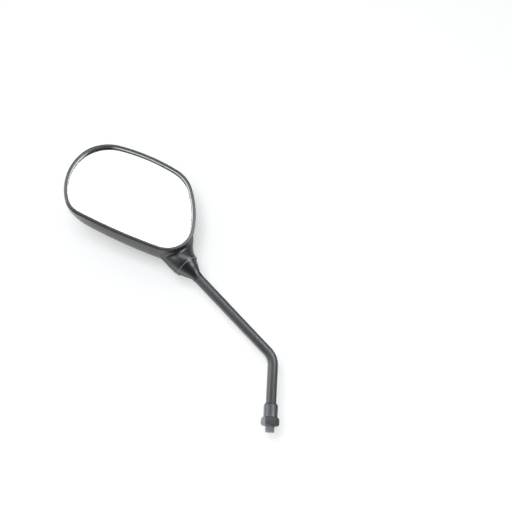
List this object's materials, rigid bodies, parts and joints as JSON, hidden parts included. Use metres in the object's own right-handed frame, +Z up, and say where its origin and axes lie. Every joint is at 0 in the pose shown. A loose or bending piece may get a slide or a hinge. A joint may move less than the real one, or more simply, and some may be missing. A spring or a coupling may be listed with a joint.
{
  "type": "motorcycle_mirror",
  "caption": "Left-hand motorcycle mirror, as mounted: convex glass in a black moulded housing, on a ball joint, a bent steel stem and a threaded foot with a lock nut",
  "frame": {"origin": "on the stud's axis, at the top of its exposed thread, just under the lock nut", "axes": "+Z up along the stud and the lower stem, -Y towards the rider (the way the glass faces), +X to the rider's right, so the stem leans out to -X"},
  "size_m": [0.2365, 0.0592, 0.2927],
  "materials": {
    "housing_plastic": "satin",
    "mirror_silver": "polished",
    "foam": "matte",
    "cover_plastic": "satin",
    "bright_steel": "zinc plated",
    "nylon": "natural",
    "spring_steel": "oiled",
    "black_stem": "satin powder coat",
    "black_zinc": "black zinc"
  },
  "bodies": {
    "stem": {"stem_tube": "black_stem", "threaded_stud": "black_zinc", "ball_stud": "bright_steel", "joint_cover": "cover_plastic"},
    "lower_seat": {"lower_seat": "nylon"},
    "upper_seat": {"upper_seat": "nylon"},
    "head": {"housing": "housing_plastic", "mirror_glass": "mirror_silver", "glass_pad": "foam", "pressure_cap": "bright_steel", "pressure_spring": "spring_steel", "spring_plate": "bright_steel", "retaining_ring": "spring_steel"},
    "nut": {"lock_nut": "black_zinc"}
  },
  "joints": [
    {"name": "head_swivel", "type": "hinge", "parent": "stem", "child": "lower_seat", "pos_m": [-0.09822, 0, 0.16431], "axis": [-0.7169, 0, 0.6972], "range_deg": [-40, 40]},
    {"name": "head_nod", "type": "hinge", "parent": "lower_seat", "child": "upper_seat", "pos_m": [-0.09822, 0, 0.16431], "axis": [0.6972, 0, 0.7169], "range_deg": [-10, 10]},
    {"name": "head_roll", "type": "hinge", "parent": "upper_seat", "child": "head", "pos_m": [-0.09822, 0, 0.16431], "axis": [0, 1, 0], "range_deg": [-10, 10]},
    {"name": "nut_turn", "type": "hinge", "parent": "stem", "child": "nut", "pos_m": [0, 0, 0.004], "axis": [0, 0, 1], "continuous": true}
  ]
}
